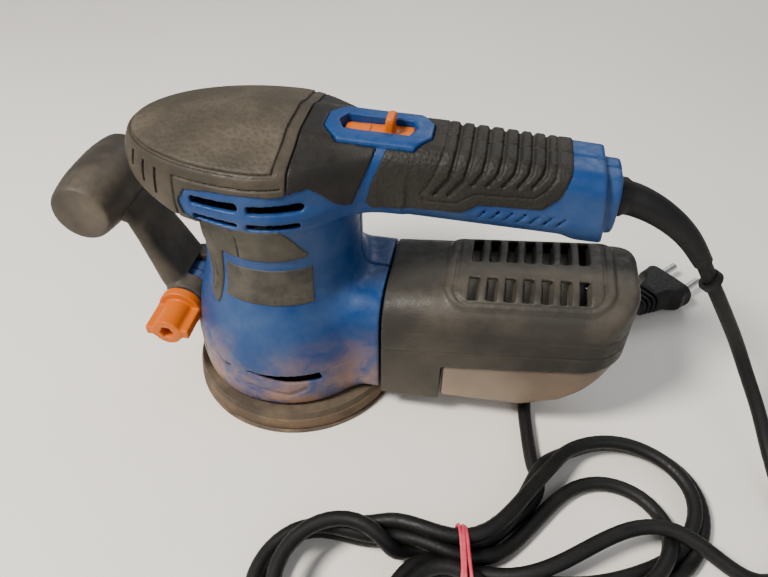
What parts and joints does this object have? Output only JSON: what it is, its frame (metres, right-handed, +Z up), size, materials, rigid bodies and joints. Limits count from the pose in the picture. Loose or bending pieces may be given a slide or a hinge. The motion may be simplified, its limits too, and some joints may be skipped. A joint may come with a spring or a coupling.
{
  "type": "random orbital sander",
  "caption": "Corded random orbital sander with a round hook and loop pad, palm cap, rear handle with slide switch, dust box, and clamped front grip; mains lead tied in a hank.",
  "frame": {"origin": "centre of the sanding face of the pad, where the tool stands", "axes": "+Z up along the motor axis, +X towards the rear handle and dust box, -Y towards the clamping knob side"},
  "size_m": [0.4004, 0.3071, 0.174],
  "materials": {
    "housing_blue": "satin moulded plastic, dusty",
    "cap_dark": "soft-touch overmould, dusty",
    "trim_dark": "matt",
    "orange": "satin",
    "steel": "satin",
    "die_cast": "cast",
    "laminate": "stamped laminations",
    "copper": "enamelled winding",
    "carbon": "matt carbon",
    "pad_foam": "closed foam, dusty",
    "hook": "hook fabric",
    "box_dark": "matt, dusty",
    "smoke": "smoky translucent plastic",
    "filter_paper": "pleated paper",
    "lead": "rubber jacket",
    "band": "elastic"
  },
  "bodies": {
    "housing": {"lower_bearing": "steel", "upper_bearing": "steel", "bearing_plate": "die_cast", "stator_core": "laminate", "stator_coils": "copper", "brush_holders": "copper", "brushes": "carbon", "brush_springs": "steel", "brake_ring": "lead", "housing_left": "housing_blue", "housing_right": "housing_blue", "housing_screws": "steel", "front_panel": "cap_dark", "name_plate": "trim_dark", "cap_shell": "cap_dark", "cap_pad": "cap_dark", "cap_saddle": "cap_dark", "grip_left": "cap_dark", "grip_right": "cap_dark", "switch_bezel": "housing_blue", "switch_block": "trim_dark", "capacitor": "copper", "inner_lead": "lead", "cord_clamp": "trim_dark", "cord_guard": "lead", "cord_ring": "lead", "duct_sleeve": "trim_dark", "duct_seal": "lead", "mains_cord_near": "lead", "mains_cord_far": "lead", "cord_hank": "lead", "cord_band": "band", "plug_body": "lead", "plug_pins": "steel"},
    "rotor": {"pad_bearing": "steel", "eccentric_hub": "die_cast", "counterweight": "laminate", "dust_fan": "trim_dark", "motor_shaft": "steel", "armature_core": "laminate", "armature_coils": "copper", "commutator": "copper", "cooling_fan": "trim_dark"},
    "pad": {"pad_hook_disc": "hook", "pad_foam": "pad_foam", "pad_plate": "trim_dark", "pad_spindle": "steel", "pad_screw": "steel"},
    "switch": {"switch_slider": "orange"},
    "dust_box": {"box_cover": "box_dark", "filter_frame": "trim_dark", "dust_filter": "filter_paper"},
    "bin": {"dust_bin": "smoke"},
    "front_handle": {"aux_arm": "trim_dark", "aux_grip": "cap_dark", "aux_bolt": "steel", "aux_washer": "steel"},
    "knob": {"aux_knob": "orange"}
  },
  "joints": [
    {"name": "rotor_spin", "type": "hinge", "parent": "housing", "child": "rotor", "pos_m": [-0.002, 0, 0.08], "axis": [0, 0, 1], "continuous": true},
    {"name": "pad_spin", "type": "hinge", "parent": "rotor", "child": "pad", "pos_m": [0, 0, 0.02], "axis": [0, 0, 1], "continuous": true},
    {"name": "switch_slide", "type": "slide", "parent": "housing", "child": "switch", "axis": [1, 0, 0], "range_m": [0, 0.008]},
    {"name": "dust_box_pull", "type": "slide", "parent": "housing", "child": "dust_box", "axis": [1, 0, 0], "range_m": [0, 0.016]},
    {"name": "bin_pull", "type": "slide", "parent": "dust_box", "child": "bin", "axis": [1, 0, 0], "range_m": [0, 0.025]},
    {"name": "front_handle_tilt", "type": "hinge", "parent": "housing", "child": "front_handle", "pos_m": [-0.0605, 0, 0.0535], "axis": [0, 1, 0], "range_deg": [-50, 0]},
    {"name": "knob_turn", "type": "hinge", "parent": "front_handle", "child": "knob", "pos_m": [-0.0605, -0.03, 0.0535], "axis": [0, -1, 0], "range_deg": [0, 360]}
  ]
}
